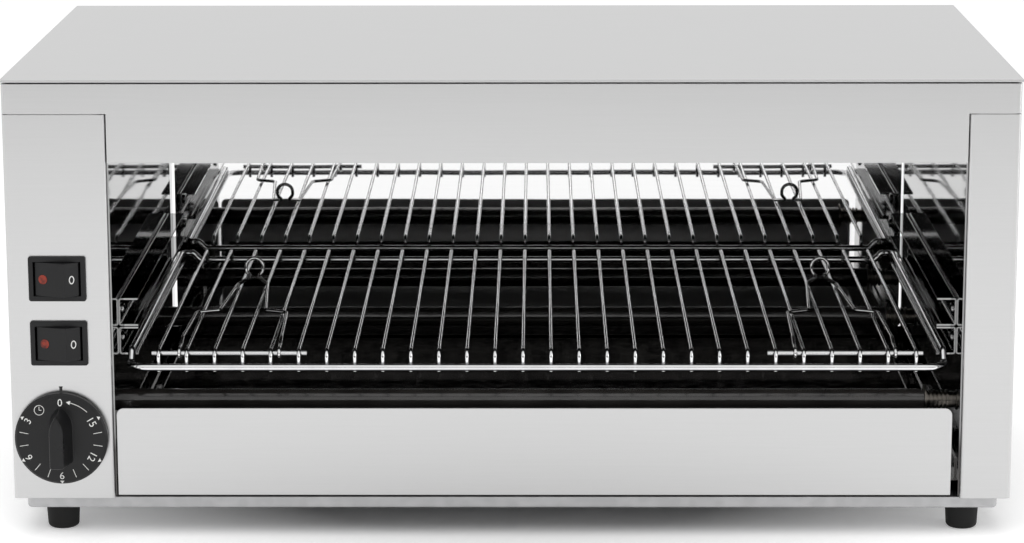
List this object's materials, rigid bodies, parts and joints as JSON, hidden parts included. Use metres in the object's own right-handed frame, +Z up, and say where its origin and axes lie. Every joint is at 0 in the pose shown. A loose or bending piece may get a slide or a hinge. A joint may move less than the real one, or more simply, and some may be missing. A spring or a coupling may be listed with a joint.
{
  "type": "countertop sandwich toaster",
  "caption": "Countertop sandwich toaster: steel casing with open front, wire rack on side guides, quartz heating tubes, crumb tray, rocker switches and timer knob.",
  "frame": {"origin": "middle of the bounding box, on the bench under the feet", "axes": "+X to the right seen from the front, +Y to the back, +Z up"},
  "size_m": [0.56, 0.3556, 0.26],
  "materials": {
    "brushed_stainless": "fine brushed satin",
    "aluminised_steel": "matt aluminised sheet",
    "mirror_stainless": "mirror polished",
    "tray_stainless": "bright rolled sheet",
    "chromed_wire": "bright chrome plating",
    "spring_wire": "bright drawn wire",
    "rivet_steel": "polished",
    "zinc_screws": "bright zinc plated",
    "fitting_steel": "turned",
    "timer_case_steel": "zinc plated pressing",
    "resistance_wire": "oxidised wound wire",
    "tinned_brass": "tinned",
    "quartz_glass": "satin quartz",
    "white_ceramic": "unglazed steatite",
    "black_rubber": "moulded matt",
    "black_nylon": "moulded satin",
    "black_switch_plastic": "moulded semi gloss",
    "black_knob_plastic": "moulded satin",
    "red_lens": "clear red",
    "wire_insulation": "silicone sleeve"
  },
  "bodies": {
    "casing": {"lid": "brushed_stainless", "front_header": "brushed_stainless", "left_side_panel": "brushed_stainless", "right_side_panel": "brushed_stainless", "back_panel": "brushed_stainless", "base_pan": "aluminised_steel", "rubber_feet": "black_rubber", "foot_screws": "zinc_screws", "back_screws": "zinc_screws", "lid_screws": "zinc_screws", "cable_gland": "black_nylon", "gland_nut": "black_nylon", "left_liner": "mirror_stainless", "right_liner": "mirror_stainless", "ceiling_reflector": "mirror_stainless", "lower_left_guide": "mirror_stainless", "upper_left_guide": "mirror_stainless", "lower_right_guide": "mirror_stainless", "upper_right_guide": "mirror_stainless", "guide_rivets": "rivet_steel", "left_tray_runner": "mirror_stainless", "right_tray_runner": "mirror_stainless", "lower_quartz_tubes": "quartz_glass", "upper_quartz_tubes": "quartz_glass", "lower_heating_coils": "resistance_wire", "upper_heating_coils": "resistance_wire", "left_end_caps": "white_ceramic", "right_end_fittings": "fitting_steel", "tube_clips": "fitting_steel", "lower_switch_housing": "black_switch_plastic", "upper_switch_housing": "black_switch_plastic", "switch_terminals": "tinned_brass", "timer_body": "timer_case_steel", "timer_screws": "zinc_screws", "terminal_block": "white_ceramic", "block_screws": "tinned_brass", "earth_stud": "tinned_brass", "element_links": "tinned_brass", "internal_wiring": "wire_insulation"},
    "rack": {"rack_frame": "chromed_wire", "rack_rods": "chromed_wire", "rack_cross_bars": "chromed_wire"},
    "left_handle": {"left_wire_handle": "spring_wire"},
    "right_handle": {"right_wire_handle": "spring_wire"},
    "crumb_tray": {"tray_front": "brushed_stainless", "tray_pan": "tray_stainless"},
    "lower_rocker": {"lower_rocker": "black_switch_plastic", "lower_neon_lens": "red_lens"},
    "upper_rocker": {"upper_rocker": "black_switch_plastic", "upper_neon_lens": "red_lens"},
    "timer_control": {"timer_knob": "black_knob_plastic", "timer_shaft": "fitting_steel"}
  },
  "joints": [
    {"name": "rack_slide", "type": "slide", "parent": "casing", "child": "rack", "axis": [0, -1, 0], "range_m": [0, 0.2]},
    {"name": "left_handle_hinge", "type": "hinge", "parent": "rack", "child": "left_handle", "pos_m": [-0.15845, -0.1353, 0.1025], "axis": [1, 0, 0], "range_deg": [0, 28]},
    {"name": "right_handle_hinge", "type": "hinge", "parent": "rack", "child": "right_handle", "pos_m": [0.18695, -0.1353, 0.1025], "axis": [1, 0, 0], "range_deg": [0, 28]},
    {"name": "crumb_tray_slide", "type": "slide", "parent": "casing", "child": "crumb_tray", "axis": [0, -1, 0], "range_m": [0, 0.25]},
    {"name": "lower_rocker_tilt", "type": "hinge", "parent": "casing", "child": "lower_rocker", "pos_m": [-0.2512, -0.1493, 0.1126], "axis": [0, 0, -1], "range_deg": [0, 20]},
    {"name": "upper_rocker_tilt", "type": "hinge", "parent": "casing", "child": "upper_rocker", "pos_m": [-0.2512, -0.1493, 0.1492], "axis": [0, 0, -1], "range_deg": [0, 20]},
    {"name": "timer_turn", "type": "hinge", "parent": "casing", "child": "timer_control", "pos_m": [-0.2512, -0.1528, 0.0587], "axis": [0, 1, 0], "range_deg": [-38, 300]}
  ]
}
